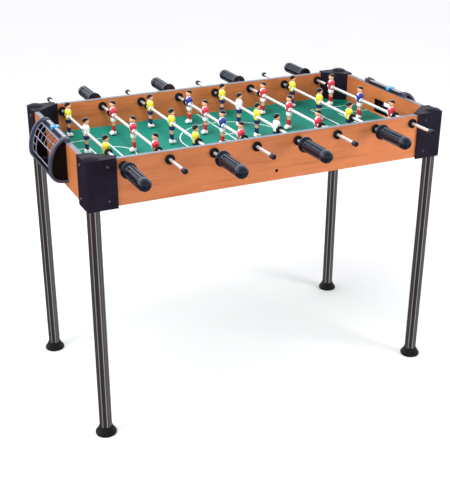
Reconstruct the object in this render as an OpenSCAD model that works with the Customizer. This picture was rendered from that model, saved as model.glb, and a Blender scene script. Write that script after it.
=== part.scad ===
// Table football table with eight rods, twenty-six players and four tube legs.
// Millimetres, +Z up. The origin is on the floor, under the centre of the cabinet.
// +X runs along the length of the table, -Y is the near long side.

/* [Cabinet] */
// Outside length of the cabinet
cabinet_l = 965; // [900:5:1200]
// Outside width of the cabinet
cabinet_w = 500; // [440:5:620]
// Height of the top edge of the panels above the floor
table_h = 735; // [600:5:900]
// Height of the side and end panels, with the edge band
panel_h = 115; // [105:1:150]
// Thickness of the side and end panels
panel_t = 12; // [9:0.5:18]
// Thickness of the edge band on top of the panels
band_t = 1; // [0.5:0.1:2]

/* [Playfield] */
// Thickness of the playfield board
field_t = 6; // [4:0.5:12]
// Gap between the players' soles and the playfield
sole_gap = 3; // [2:0.5:6]
// Side of the square battens that carry the playfield
batten = 14; // [10:1:20]

/* [Rods] */
// Distance from the outer end face of the cabinet to the first rod
rod_end_gap = 87; // [80:1:110]
// Depth of the rod axes below the top of the panels
rod_drop = 20; // [18:1:30]
// Diameter of the rods
rod_d = 8; // [6:0.5:12]
// Radial running clearance between a rod and what it slides or turns in
rod_clear = 0.08; // [0.02:0.01:0.1]
// Travel to each side of centre on a rod with three players
travel_3 = 55; // [30:1:70]
// Travel to each side of centre on a rod with four players
travel_4 = 46.5; // [25:0.5:60]
// Length of bare rod past the bushing at the plain end, at full travel
plain_reserve = 30; // [15:1:60]

/* [Bushings and bumpers] */
// Diameter of the bushing flange and of its ring nut
bush_d = 24; // [18:1:28]
// Thickness of the bushing flange and of its ring nut
bush_t = 5; // [3:0.5:8]
// Diameter of the bushing sleeve through the panel
sleeve_d = 15; // [13:0.5:17]
// Diameter of the rubber bumper rings
bumper_d = 19; // [15:1:24]
// Length of the rubber bumper rings
bumper_l = 9; // [5:1:15]

/* [Handles] */
// Overall length of a handle
handle_l = 117; // [90:1:140]
// Diameter over the ribs of a handle
handle_d = 32; // [26:1:36]
// Diameter of the collar at the inner end of a handle
collar_d = 40; // [36:1:44]
// Diameter of the cap on the plain end of a rod
cap_d = 13.5; // [11:0.5:18]
// Length of the cap on the plain end of a rod
cap_l = 14; // [10:1:20]

/* [Players] */
// Width of a player over the shoulders
player_w = 26; // [20:1:30]
// Height of the head above the rod axis
head_up = 38; // [35:1:42]
// Depth of the soles below the rod axis
sole_down = 54.5; // [50:0.5:60]

/* [Legs] */
// Diameter of the leg tubes
leg_d = 32; // [25:1:38]
// Wall of the leg tubes
leg_wall = 1.5; // [1:0.1:3]
// Distance of the leg axes inside the outer faces of the cabinet
leg_inset = 13.5; // [12:0.5:20]
// Diameter of the rubber feet at the floor
foot_d = 54; // [44:1:70]
// Height of the rubber feet
foot_h = 22; // [16:1:35]

/* [Corner brackets] */
// Length of a corner bracket along the side panels
bracket_l = 75; // [65:1:95]
// Length of a corner bracket along the end panels
bracket_end_l = 64; // [55:1:80]
// How far a bracket stands proud of the panels
bracket_proud = 5.5; // [4:0.5:8]
// Reach of the diagonal inner wall along the side panels
diagonal = 63; // [50:1:80]
// Reach of the diagonal inner wall along the end panels
diagonal_end = 52; // [45:1:70]
// Wall of the leg socket and of the diagonal inner wall
bracket_wall = 2.5; // [2:0.5:4]
// How far a bracket hangs below the panels
bracket_below = 4; // [2:0.5:8]
// Height of the rounded cap above the panels
cap_rise = 9; // [6:0.5:14]

/* [Goals] */
// Width of the goal opening
goal_w = 106; // [80:1:140]
// Height of the goal opening
goal_h = 44; // [36:1:50]
// Width of the ball return box over its cheeks
box_w = 192; // [170:1:240]
// How far the return box stands out from the end panel
box_out = 45; // [40:1:60]
// Depth of the widest line of the return box below the panel top
box_mid_drop = 63; // [58:1:70]
// Height of the box above its widest line
box_up = 76; // [74:1:82]
// Depth of the box below its widest line
box_down = 36; // [30:1:45]
// Thickness of a cheek of the return box
cheek_t = 8; // [5:0.5:12]
// Length of the score rail
rail_l = 156; // [120:1:180]

/* [Hidden] */
ROUND = 48;
SMALL_ROUND = 24;
TOUCH = 0.01;
TRUE_FIT = 0.05;
SLIDE_FIT = 0.3;
BUMPER_GAP = 1;
RODS = 8;

// Rest position of each rod along +Y, rod 1 at the left end.
rod_rest = [29, -6, 14, -1, 25, 0, 32, 0];
// Rest position of the score sliders along +Y, left and right.
slider_rest = [12, -24];
// How many players each rod carries.
rod_men = [3, 3, 3, 4, 4, 3, 3, 3];

WOOD = "#d98a4e";
INK = "#2a2430";
STEEL = "#c8ccd2";
GREEN = "#1f7a62";
GREY = "#8d8d9a";
BLUE = "#3fa7e0";
YELLOW = "#f2e23c";
WHITE = "#f4f4f4";
RED = "#d8303c";
ROYAL = "#3a3fae";
// Shirt colours along each rod, from the near side to the far side.
shirts = [
    [YELLOW, WHITE, YELLOW], [RED, RED, RED], [YELLOW, YELLOW, YELLOW], [RED, ROYAL, RED, ROYAL],
    [WHITE, YELLOW, WHITE, YELLOW], [RED, RED, RED], [YELLOW, YELLOW, YELLOW], [RED, ROYAL, RED]
];

half_l = cabinet_l / 2;
half_w = cabinet_w / 2;
inner_l = half_l - panel_t;
inner_w = half_w - panel_t;
panel_z = table_h - panel_h;
rod_z = table_h - rod_drop;
rod_r = rod_d / 2;
rod_pitch = (cabinet_l - 2 * rod_end_gap) / (RODS - 1);
field_z = rod_z - sole_down - sole_gap;
leg_x = half_l - leg_inset;
leg_y = half_w - leg_inset;
socket_r = leg_d / 2 + TRUE_FIT + bracket_wall;
dome_r = max(leg_inset + bracket_proud + 0.5, socket_r + 1);
// The diagonal wall stays clear of the nuts of the end rods.
diagonal_side = min(diagonal, rod_end_gap - panel_t - bush_d / 2);
side_panel_end = leg_x - dome_r - 0.5;
end_panel_end = leg_y - dome_r - 0.5;
bush_out = half_w + bush_t;
bush_in = inner_w - bush_t;
handle_u = bush_out + max(travel_3, travel_4) + 1;
plain_u = bush_out + max(travel_3, travel_4) + plain_reserve;
outer_man_3 = bush_in - bumper_l - BUMPER_GAP - player_w / 2 - travel_3;
outer_man_4 = bush_in - bumper_l - BUMPER_GAP - player_w / 2 - travel_4;
cap_grip = cap_l - 3;
handle_blind = 20;
screw_edge = 22;
screw_drop = 16;
screw_rise = 16;
screw_r = 2;
screw_head_r = 4;
screw_bite = 9;

CORNERS = ["front_left", "front_right", "back_left", "back_right"];
CORNER_SIGNS = [[-1, -1], [1, -1], [-1, 1], [1, 1]];
PER_ROD = ["shaft", "players", "grips", "bumpers"];

function rod_x(k) = (k - (RODS + 1) / 2) * rod_pitch;
// Odd rods have their handle on the near side, even rods on the far side.
function handle_side(k) = k % 2 == 1 ? -1 : 1;
function outer_man(k) = rod_men[k - 1] == 4 ? outer_man_4 : outer_man_3;
function man_y(k, i) = -outer_man(k) + 2 * outer_man(k) * i / (rod_men[k - 1] - 1);

// ---- Cabinet ----

module y_cylinder(r, y0, y1, fn = ROUND) {
    translate([0, y0, 0]) rotate([-90, 0, 0]) cylinder(r = r, h = y1 - y0, $fn = fn);
}

module x_cylinder(r, x0, x1, fn = ROUND) {
    translate([x0, 0, 0]) rotate([0, 90, 0]) cylinder(r = r, h = x1 - x0, $fn = fn);
}

module rod_holes(r, y0, y1) {
    for (k = [1:RODS])
        translate([rod_x(k), 0, rod_z]) y_cylinder(r, y0, y1);
}

// Screw places on the near and far faces (x, z) and on the end faces (y, z), per corner.
screw_zs = [table_h - screw_drop, panel_z + screw_rise];
screw_x = half_l + bracket_proud - bracket_l + screw_edge;
screw_y = half_w + bracket_proud - bracket_end_l + screw_edge;

module screw_shanks(r) {
    for (sx = [-1, 1], sy = [-1, 1], z = screw_zs) {
        translate([sx * screw_x, 0, z])
            y_cylinder(r, sy > 0 ? half_w - screw_bite : -half_w - bracket_proud,
                sy > 0 ? half_w + bracket_proud : -half_w + screw_bite, SMALL_ROUND);
        translate([0, sy * screw_y, z])
            x_cylinder(r, sx > 0 ? half_l - screw_bite : -half_l - bracket_proud,
                sx > 0 ? half_l + bracket_proud : -half_l + screw_bite, SMALL_ROUND);
    }
}

module beam_bolt_holes(r) {
    for (s = [-1, 1])
        translate([0, 0, beam_z])
            y_cylinder(r, s > 0 ? inner_w - batten : -half_w - TOUCH,
                s > 0 ? half_w + TOUCH : -inner_w + batten, SMALL_ROUND);
}

module side_panel(s) {
    color(WOOD) difference() {
        translate([-side_panel_end, s > 0 ? inner_w : -half_w, panel_z])
            cube([2 * side_panel_end, panel_t, panel_h - band_t]);
        rod_holes(sleeve_d / 2, s > 0 ? inner_w - 1 : -half_w - 1, s > 0 ? half_w + 1 : -inner_w + 1);
        screw_shanks(screw_r);
        beam_bolt_holes(screw_r);
    }
}

module end_panel(s) {
    color(WOOD) difference() {
        translate([s > 0 ? inner_l : -half_l, -end_panel_end, panel_z])
            cube([panel_t, 2 * end_panel_end, panel_h - band_t]);
        translate([s > 0 ? inner_l - 1 : -half_l - 1, -goal_w / 2, field_z])
            cube([panel_t + 2, goal_w, goal_h]);
        screw_shanks(screw_r);
    }
}

module edge_bands() {
    color(GREY) for (s = [-1, 1]) {
        translate([-band_side, s > 0 ? inner_w : -half_w, table_h - band_t])
            cube([2 * band_side, panel_t, band_t]);
        translate([s > 0 ? inner_l : -half_l, -band_end, table_h - band_t])
            cube([panel_t, 2 * band_end, band_t]);
    }
}
band_side = half_l + bracket_proud - bracket_l;
band_end = half_w + bracket_proud - bracket_end_l;

module playfield() {
    color(GREEN) translate([0, 0, field_z - field_t]) linear_extrude(field_t) polygon([
        [-inner_l, -inner_w + diagonal_end], [-inner_l + diagonal_side, -inner_w],
        [inner_l - diagonal_side, -inner_w], [inner_l, -inner_w + diagonal_end],
        [inner_l, inner_w - diagonal_end], [inner_l - diagonal_side, inner_w],
        [-inner_l + diagonal_side, inner_w], [-inner_l, inner_w - diagonal_end]
    ]);
}

beam_z = field_z - field_t - batten / 2;
module field_battens() {
    along = inner_l - diagonal_side - 4;
    across = inner_w - diagonal_end - 4;
    beam_half = inner_w - batten - 0.5;
    color(WOOD) difference() {
        union() {
            for (s = [-1, 1]) {
                translate([-along, s > 0 ? inner_w - batten : -inner_w, beam_z - batten / 2])
                    cube([2 * along, batten, batten]);
                translate([s > 0 ? inner_l - batten : -inner_l, -across, beam_z - batten / 2])
                    cube([batten, 2 * across, batten]);
            }
            translate([-batten / 2, -beam_half, beam_z - batten / 2]) cube([batten, 2 * beam_half, batten]);
        }
        beam_bolt_holes(screw_r);
    }
}

module beam_bolts() {
    color(INK) for (s = [-1, 1]) translate([0, 0, beam_z]) {
        y_cylinder(screw_r, s > 0 ? inner_w - batten : -half_w, s > 0 ? half_w : -inner_w + batten, SMALL_ROUND);
        y_cylinder(screw_head_r, s > 0 ? half_w : -half_w - 2, s > 0 ? half_w + 2 : -half_w, SMALL_ROUND);
    }
}

// ---- Corner brackets, legs and feet ----

corner_r = 6;
// Plan of the outer skin and of the top plate of one corner, in the +X +Y quarter.
module bracket_skin_plan() {
    ox = half_l + bracket_proud;
    oy = half_w + bracket_proud;
    difference() {
        union() {
            polygon([
                [ox - bracket_l, oy], [ox - corner_r, oy], [ox, oy - corner_r], [ox, oy - bracket_end_l],
                [half_l, oy - bracket_end_l], [half_l, half_w], [ox - bracket_l, half_w]
            ]);
            translate([ox - corner_r, oy - corner_r]) circle(r = corner_r, $fn = ROUND);
        }
        translate([leg_x, leg_y]) circle(r = socket_r - TOUCH, $fn = ROUND);
    }
}

module bracket_top_plan() {
    ox = half_l + bracket_proud;
    oy = half_w + bracket_proud;
    polygon([
        [ox - bracket_l, oy], [ox - corner_r, oy], [ox, oy - corner_r], [ox, oy - bracket_end_l],
        [inner_l, oy - bracket_end_l], [inner_l, inner_w - diagonal_end], [inner_l - diagonal_side, inner_w],
        [ox - bracket_l, inner_w]
    ]);
    translate([ox - corner_r, oy - corner_r]) circle(r = corner_r, $fn = ROUND);
}

module bracket_diagonal_plan() {
    cut = bracket_wall * sqrt(2);
    polygon([
        [inner_l, inner_w - diagonal_end], [inner_l, inner_w - diagonal_end + cut],
        [inner_l - diagonal_side + cut, inner_w], [inner_l - diagonal_side, inner_w]
    ]);
}

top_plate = 3;
dome_edge = 3.5;
dome_skirt = 14;
module bracket_dome() {
    translate([leg_x, leg_y, table_h]) rotate_extrude($fn = ROUND) polygon([
        [0, cap_rise], [dome_r * 0.45, cap_rise - 0.6], [dome_r * 0.75, cap_rise - 2],
        [dome_r * 0.93, cap_rise - 3.8], [dome_r, cap_rise - 5.6], [dome_r - 0.4, cap_rise - 7.5],
        [leg_inset + bracket_proud - 0.3, top_plate - dome_skirt], [0, top_plate - dome_skirt]
    ]);
}

module corner_bracket(sx, sy) {
    low = panel_z - bracket_below;
    color(INK) mirror([sx < 0 ? 1 : 0, 0, 0]) mirror([0, sy < 0 ? 1 : 0, 0]) difference() {
        union() {
            translate([0, 0, low]) linear_extrude(table_h - low) bracket_skin_plan();
            translate([0, 0, low]) linear_extrude(table_h - low) bracket_diagonal_plan();
            translate([0, 0, table_h]) linear_extrude(top_plate) bracket_top_plan();
            translate([leg_x, leg_y, low]) cylinder(r = socket_r, h = table_h - low, $fn = ROUND);
            bracket_dome();
            bracket_web(low);
        }
        translate([leg_x, leg_y, low - 1])
            cylinder(r = leg_d / 2 + TRUE_FIT, h = leg_top - low + 1, $fn = ROUND);
        screw_shanks(screw_r);
    }
}

// Upright web from the leg socket to the middle of the diagonal wall.
module bracket_web(low) {
    mid_x = inner_l - diagonal_side / 2;
    mid_y = inner_w - diagonal_end / 2;
    reach = sqrt(pow(leg_x - mid_x, 2) + pow(leg_y - mid_y, 2)) - socket_r + 1;
    translate([mid_x, mid_y, low]) rotate([0, 0, atan2(leg_y - mid_y, leg_x - mid_x)])
        translate([bracket_wall / 2, -bracket_wall / 2, 0]) cube([reach, bracket_wall, table_h - low]);
}

leg_top = table_h - 6;
foot_floor = 5;
module leg(sx, sy) {
    color(STEEL) translate([sx * leg_x, sy * leg_y, foot_floor]) difference() {
        cylinder(r = leg_d / 2, h = leg_top - foot_floor, $fn = ROUND);
        translate([0, 0, -1]) cylinder(r = leg_d / 2 - leg_wall, h = leg_top - foot_floor + 2, $fn = ROUND);
    }
}

module foot_pads() {
    base_r = foot_d / 2;
    neck_r = leg_d / 2 + 2;
    color(INK) for (c = CORNER_SIGNS) translate([c[0] * leg_x, c[1] * leg_y, 0])
        rotate_extrude($fn = ROUND) polygon([
            [0, 0], [base_r - 2, 0], [base_r, 2], [base_r, 6], [base_r - 3, 10],
            [neck_r + 1.5, foot_h - 5], [neck_r, foot_h], [leg_d / 2 + TRUE_FIT, foot_h],
            [leg_d / 2 + TRUE_FIT, foot_floor], [0, foot_floor]
        ]);
}

module corner_screws() {
    dome = 2;
    color(STEEL) {
        screw_shanks(screw_r - TRUE_FIT);
        for (sx = [-1, 1], sy = [-1, 1], z = screw_zs) {
            translate([sx * screw_x, sy * (half_w + bracket_proud), z]) rotate([-90 * sy, 0, 0])
                cylinder(r1 = screw_head_r, r2 = screw_head_r - 1, h = dome, $fn = SMALL_ROUND);
            translate([sx * (half_l + bracket_proud), sy * screw_y, z]) rotate([0, 90 * sx, 0])
                cylinder(r1 = screw_head_r, r2 = screw_head_r - 1, h = dome, $fn = SMALL_ROUND);
        }
    }
}

// ---- Rod bushings ----

module rod_bushings() {
    color(INK) for (s = [-1, 1]) difference() {
        for (k = [1:RODS]) translate([rod_x(k), 0, rod_z]) {
            y_cylinder(bush_d / 2, s > 0 ? half_w : -bush_out, s > 0 ? bush_out : -half_w);
            y_cylinder(sleeve_d / 2, s > 0 ? bush_in : -bush_out, s > 0 ? bush_out : -bush_in);
        }
        rod_holes(rod_r + rod_clear, s > 0 ? bush_in - 1 : -bush_out - 1, s > 0 ? bush_out + 1 : -bush_in + 1);
    }
}

module bushing_nuts() {
    color(INK) for (s = [-1, 1]) difference() {
        for (k = [1:RODS]) translate([rod_x(k), 0, rod_z])
            y_cylinder(bush_d / 2, s > 0 ? bush_in : -inner_w, s > 0 ? inner_w : -bush_in);
        rod_holes(sleeve_d / 2 + TRUE_FIT, s > 0 ? bush_in - 1 : -inner_w - 1, s > 0 ? inner_w + 1 : -bush_in + 1);
    }
}

// ---- Rods ----

// Places children in the frame of rod k: +Y runs from the plain end towards the handle.
module on_rod(k) {
    translate([rod_x(k), rod_rest[k - 1], rod_z]) mirror([0, handle_side(k) < 0 ? 1 : 0, 0]) children();
}

module rod_shaft(k) {
    color(STEEL) on_rod(k) y_cylinder(rod_r, -plain_u + cap_l - cap_grip, handle_u + handle_l - handle_blind);
}

module rod_bumpers(k) {
    gap = player_w / 2 + BUMPER_GAP;
    color(INK) translate([rod_x(k), rod_rest[k - 1], rod_z]) for (s = [-1, 1]) {
        near = outer_man(k) + gap;
        difference() {
            y_cylinder(bumper_d / 2, s > 0 ? near : -near - bumper_l, s > 0 ? near + bumper_l : -near);
            y_cylinder(rod_r + rod_clear, -near - bumper_l - 1, near + bumper_l + 1);
        }
    }
}

module rod_grips(k) {
    collar_t = 6;
    neck_l = 10;
    rib_l = handle_l - collar_t - neck_l - handle_d / 2 - 7;
    rib_h = 1.6;
    ribs = 14;
    handle_r = handle_d / 2;
    color(INK) on_rod(k) {
        difference() {
            union() {
                y_cylinder(collar_d / 2, handle_u, handle_u + collar_t);
                y_cylinder(handle_r - 0.8, handle_u, handle_u + collar_t + neck_l);
                translate([0, handle_u + collar_t + neck_l, 0]) rotate([-90, 0, 0]) linear_extrude(rib_l) {
                    circle(r = handle_r - rib_h, $fn = ROUND);
                    for (i = [0:ribs - 1]) rotate(i * 360 / ribs)
                        translate([handle_r - 2 * rib_h, -1.6]) square([2 * rib_h, 3.2]);
                }
                y_cylinder(handle_r, handle_u + collar_t + neck_l + rib_l, handle_u + handle_l - handle_r);
                translate([0, handle_u + handle_l - handle_r, 0]) sphere(r = handle_r, $fn = ROUND);
            }
            y_cylinder(rod_r + TRUE_FIT, handle_u - 1, handle_u + handle_l - handle_blind + TRUE_FIT);
        }
        difference() {
            y_cylinder(cap_d / 2, -plain_u, -plain_u + cap_l);
            y_cylinder(rod_r + TRUE_FIT, -plain_u + cap_l - cap_grip - TRUE_FIT, -plain_u + cap_l + 1);
        }
    }
}

// Outlines of one player about the rod axis: z runs from the soles to the crown.
module player_side_plan() {
    s = -sole_down;
    polygon([
        [-6, s], [9.5, s], [10.5, s + 2], [9.5, s + 6.5], [5.5, s + 11], [4.6, s + 14], [4.8, s + 25],
        [5.2, -17.5], [6.8, -16.5], [6.6, -8], [8, 0], [9, 8], [8.2, 15], [4.6, 19.5], [4.4, 21],
        [7.4, 22], [8, 27], [7.8, 32], [5.6, head_up - 1.6], [2, head_up - 0.2], [-2, head_up],
        [-5.8, head_up - 1.6], [-8, 32], [-7.6, 25], [-4.2, 21.5], [-5.4, 19.5], [-8.4, 13], [-8.6, 4],
        [-7, -6], [-6.8, -16.5], [-5, -17.5], [-5.4, s + 25], [-4.4, s + 12], [-6, s + 5]
    ]);
}

module player_front_plan() {
    s = -sole_down;
    h = player_w / 2;
    right = [
        [7.5, s], [7.8, s + 8], [7, s + 12], [7.8, s + 25], [7.4, -17.5], [9.4, -16.5], [h - 4, -7],
        [h - 2, -3], [h - 0.6, 4], [h, 10], [h - 1, 16], [h - 5, 19.6], [4.4, 20.6], [4.6, 21.8],
        [7.2, 24], [7.8, 29], [7.2, 33.5], [4.5, head_up - 1], [1.5, head_up]
    ];
    polygon(concat(right, [for (i = [len(right) - 1:-1:0]) [-right[i][0], right[i][1]]]));
}

module player() {
    reach = player_w;
    difference() {
        intersection() {
            rotate([90, 0, 0]) translate([0, 0, -reach / 2 - 1]) linear_extrude(reach + 2) player_side_plan();
            rotate([90, 0, 90]) translate([0, 0, -reach / 2 - 1]) linear_extrude(reach + 2) player_front_plan();
        }
        y_cylinder(rod_r + TRUE_FIT, -reach, reach);
    }
}

module rod_players(k) {
    translate([rod_x(k), rod_rest[k - 1], rod_z])
        for (i = [0:rod_men[k - 1] - 1]) color(shirts[k - 1][i])
            translate([0, man_y(k, i), 0]) mirror([k % 2 == 1 ? 0 : 1, 0, 0]) player();
}

// ---- Ball return boxes, nets and score counters, drawn for the +X end ----

box_z = table_h - box_mid_drop;
top_power = 1.85;
low_power = 2.6;
// Point of the box outline at angle a, moved inwards by inset: 90 is the top, -90 the bottom.
function box_point(a, inset) =
    let (n = a < 0 ? low_power : top_power, rz = (a < 0 ? box_down : box_up) - inset, rx = box_out - inset)
    [
        half_l + rx * pow(max(cos(a), 0), 2 / n),
        box_z + (a < 0 ? -1 : 1) * rz * pow(abs(sin(a)), 2 / n)
    ];
function box_arc(a0, a1, inset, step = 7.5) = [for (a = [a0:step:a1]) box_point(a, inset)];
function reversed(v) = [for (i = [len(v) - 1:-1:0]) v[i]];

// A band that follows the outline from angle a0 to a1 between two insets.
module box_band(a0, a1, inset0, inset1) {
    polygon(concat(box_arc(a0, a1, inset0), reversed(box_arc(a0, a1, inset1))));
}

// Extrudes a plan drawn in x and z along the width, centred on y = mid.
module across(width, mid = 0) {
    translate([0, mid + width / 2, 0]) rotate([90, 0, 0]) linear_extrude(width) children();
}

hook = 10;
hook_out = 8;
box_skin = 2.5;
net_inset = 8;
net_t = 2.2;
net_bar = 2.4;
lip_top = -9;
module return_box() {
    inner_half = box_w / 2 - cheek_t;
    color(INK) difference() {
        union() {
            for (s = [-1, 1]) across(cheek_t, s * (box_w - cheek_t) / 2) {
                polygon(concat([[half_l, box_z - box_down]], box_arc(-90, 90, 0), [[half_l, table_h]]));
                translate([half_l - hook, table_h]) square([hook + 1, box_up - box_mid_drop - 2]);
            }
            across(box_w - cheek_t) box_band(-90, lip_top, 0, box_skin);
            for (s = [-1, 1]) translate([half_l - hook, s * (rail_l / 2 + 2.5) - 2.5, table_h])
                cube([hook + hook_out, 5, box_up - box_mid_drop - 2]);
            translate([half_l, -box_w / 2 + 1, table_h - 4]) cube([hook_out, box_w - 2, 4]);
        }
        for (s = [-1, 1]) across(cheek_t, s * (box_w - cheek_t + 5) / 2)
            polygon(concat([[half_l - 1, box_z - box_down + 6]], box_arc(-82.5, 82.5, 6), [[half_l - 1, table_h - 8]]));
    }
}

// Rows of the net by angle, from under the score rail down to the lip of the box.
net_rows = [72, 52, 33, 16, 0];
net_columns = 6;
module goal_net() {
    wide = box_w - 2 * cheek_t;
    cell = wide / net_columns;
    color(STEEL) difference() {
        across(wide) box_band(0, 75, net_inset, net_inset + net_t);
        for (r = [0:len(net_rows) - 2], c = [0:net_columns - 1]) {
            open_middle = r >= 2 && c > 0 && c < net_columns - 1;
            if (!open_middle)
                across(cell - net_bar, -wide / 2 + cell * (c + 0.5))
                    box_band(net_rows[r + 1] + 1, net_rows[r] - 1, net_inset - 1, net_inset + net_t + 1);
        }
        across(cell * (net_columns - 2) - net_bar)
            box_band(-1, net_rows[2] - 1, net_inset - 1, net_inset + net_t + 1);
    }
}

rail_base_h = 4;
rail_neck_h = 2.5;
rail_head_h = 3;
rail_head_w = 14;
rail_neck_w = 8;
rail_mid = half_l - 4;
module score_rail() {
    base_w = 20;
    color(GREY) across(rail_l) translate([rail_mid, table_h]) {
        translate([-base_w / 2 + 4, 0]) square([base_w - 8, rail_base_h]);
        translate([-rail_neck_w / 2, rail_base_h - 1]) square([rail_neck_w, rail_neck_h + 2]);
        translate([-rail_head_w / 2, rail_base_h + rail_neck_h]) square([rail_head_w, rail_head_h]);
    }
}

module score_slider(rest) {
    slider_l = 14;
    wall = 2.5;
    head_z = rail_base_h + rail_neck_h;
    out_w = rail_head_w + 2 * (wall + SLIDE_FIT);
    color(BLUE) translate([0, rest, 0]) difference() {
        across(slider_l) translate([rail_mid, table_h]) difference() {
            translate([-out_w / 2, rail_base_h + SLIDE_FIT])
                square([out_w, rail_neck_h + rail_head_h + wall]);
            translate([-rail_head_w / 2 - SLIDE_FIT, head_z - SLIDE_FIT])
                square([rail_head_w + 2 * SLIDE_FIT, rail_head_h + 2 * SLIDE_FIT]);
            translate([-rail_neck_w / 2 - SLIDE_FIT, 0])
                square([rail_neck_w + 2 * SLIDE_FIT, head_z + 1]);
        }
        translate([rail_mid - 4, -3, table_h + head_z + 1]) cube([8, 6, 12]);
    }
}

module at_end(s) {
    mirror([s < 0 ? 1 : 0, 0, 0]) children();
}

// ---- The parts, one by one ----

side_panel(-1);  // front_panel
side_panel(1);  // back_panel
end_panel(-1);  // left_end_panel
end_panel(1);  // right_end_panel
edge_bands();
playfield();
field_battens();
foot_pads();
rod_bushings();
bushing_nuts();
corner_screws();
beam_bolts();
for (i = [0:3]) {
    corner_bracket(CORNER_SIGNS[i][0], CORNER_SIGNS[i][1]);
    leg(CORNER_SIGNS[i][0], CORNER_SIGNS[i][1]);
}
for (i = [0:1]) {
    side = i == 0 ? "left" : "right";
    sign = 2 * i - 1;
    at_end(sign) return_box();
    at_end(sign) goal_net();
    at_end(sign) score_rail();
    at_end(sign) score_slider(slider_rest[i]);
}
for (k = [1:RODS]) {
    rod_shaft(k);
    rod_players(k);
    rod_grips(k);
    rod_bumpers(k);
}
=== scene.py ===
"""Looks of a table football table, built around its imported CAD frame.

Pieces are made in millimetres. Bump depths, the floor and the lights are in metres.
"""
import math

import bmesh
import bpy
from mathutils import Matrix, Vector


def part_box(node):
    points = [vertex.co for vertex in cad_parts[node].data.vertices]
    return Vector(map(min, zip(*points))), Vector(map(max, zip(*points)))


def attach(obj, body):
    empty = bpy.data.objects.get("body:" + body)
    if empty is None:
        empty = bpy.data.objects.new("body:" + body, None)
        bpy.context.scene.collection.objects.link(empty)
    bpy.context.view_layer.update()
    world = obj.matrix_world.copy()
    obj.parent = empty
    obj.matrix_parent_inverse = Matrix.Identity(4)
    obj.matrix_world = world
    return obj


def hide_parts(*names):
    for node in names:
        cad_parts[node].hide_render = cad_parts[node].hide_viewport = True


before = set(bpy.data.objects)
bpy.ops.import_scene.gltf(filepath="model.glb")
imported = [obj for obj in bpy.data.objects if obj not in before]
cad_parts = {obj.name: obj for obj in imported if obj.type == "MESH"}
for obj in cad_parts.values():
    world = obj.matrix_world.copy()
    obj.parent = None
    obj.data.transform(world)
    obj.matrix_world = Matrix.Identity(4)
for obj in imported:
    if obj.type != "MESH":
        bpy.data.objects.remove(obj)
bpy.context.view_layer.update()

MM = 0.001
TABLE = "table"
RODS = range(1, 9)
ENDS = (("left", -1), ("right", 1))
CORNERS = ("front_left", "front_right", "back_left", "back_right")
# Shirt colours of each rod's men, from the front of the table to the back.
SHIRTS = {
    1: ("yellow", "white", "yellow"), 2: ("red",) * 3, 3: ("yellow",) * 3,
    4: ("red", "blue", "red", "blue"), 5: ("white", "yellow", "white", "yellow"),
    6: ("red",) * 3, 7: ("yellow",) * 3, 8: ("red", "blue", "red"),
}


def box_mm(node):
    """Lowest and highest corner of a CAD node, in millimetres."""
    lo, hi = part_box(node)
    return Vector(lo) / MM, Vector(hi) / MM


# ---- Materials ----

WHITE = (1.0, 1.0, 1.0)
BUMP_REACH = 0.0003
FINE_BUMP_REACH = 0.0002


def new_material(name):
    """A material with its nodes, links and shader."""
    material = bpy.data.materials.new(name)
    material.use_nodes = True
    tree = material.node_tree
    return material, tree.nodes, tree.links, tree.nodes["Principled BSDF"]


def coordinates(nodes, links, stretch=(1, 1, 1), offset=(0, 0, 0)):
    """Object coordinates in metres, stretched by axis."""
    source = nodes.new("ShaderNodeTexCoord")
    mapping = nodes.new("ShaderNodeMapping")
    mapping.inputs["Scale"].default_value = stretch
    mapping.inputs["Location"].default_value = offset
    links.new(source.outputs["Object"], mapping.inputs["Vector"])
    return mapping.outputs["Vector"]


def noise(nodes, links, vector, scale, detail=4.0, distortion=0.0):
    texture = nodes.new("ShaderNodeTexNoise")
    texture.inputs["Scale"].default_value = scale
    texture.inputs["Detail"].default_value = detail
    texture.inputs["Distortion"].default_value = distortion
    links.new(vector, texture.inputs["Vector"])
    return texture.outputs["Fac"]


def ramp(nodes, links, value, stops):
    """Colour ramp through stops of (position, colour)."""
    node = nodes.new("ShaderNodeValToRGB")
    node.color_ramp.interpolation = "EASE"
    elements = node.color_ramp.elements
    elements[0].position, elements[0].color = stops[0][0], (*stops[0][1], 1)
    elements[1].position, elements[1].color = stops[-1][0], (*stops[-1][1], 1)
    for position, colour in stops[1:-1]:
        elements.new(position).color = (*colour, 1)
    links.new(value, node.inputs["Fac"])
    return node.outputs["Color"]


def to_range(nodes, links, value, low, high):
    """A value from 0 to 1 carried over to low to high."""
    node = nodes.new("ShaderNodeMapRange")
    node.inputs["To Min"].default_value = low
    node.inputs["To Max"].default_value = high
    links.new(value, node.inputs["Value"])
    return node.outputs["Result"]


def share_of(nodes, links, value, low, high):
    """How far a value is from low to high, from 0 to 1."""
    node = nodes.new("ShaderNodeMapRange")
    node.inputs["From Min"].default_value = low
    node.inputs["From Max"].default_value = high
    links.new(value, node.inputs["Value"])
    return node.outputs["Result"]


def mixed(nodes, links, blend, first, second):
    """Mix node of two colours, with a factor of one until it is set."""
    node = nodes.new("ShaderNodeMix")
    node.data_type = "RGBA"
    node.blend_type = blend
    node.inputs["Factor"].default_value = 1.0
    links.new(first, node.inputs["A"])
    links.new(second, node.inputs["B"])
    return node


def multiply(nodes, links, first, second, share=1.0):
    node = mixed(nodes, links, "MULTIPLY", first, second)
    node.inputs["Factor"].default_value = share
    return node.outputs["Result"]


def bump(nodes, links, shader, height, strength, distance):
    node = nodes.new("ShaderNodeBump")
    node.inputs["Strength"].default_value = strength
    node.inputs["Distance"].default_value = distance
    links.new(height, node.inputs["Height"])
    links.new(node.outputs["Normal"], shader.inputs["Normal"])


def shade(colour, factor):
    """A colour made lighter or darker, up to white."""
    return tuple(min(1.0, channel * factor) for channel in colour)


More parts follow.
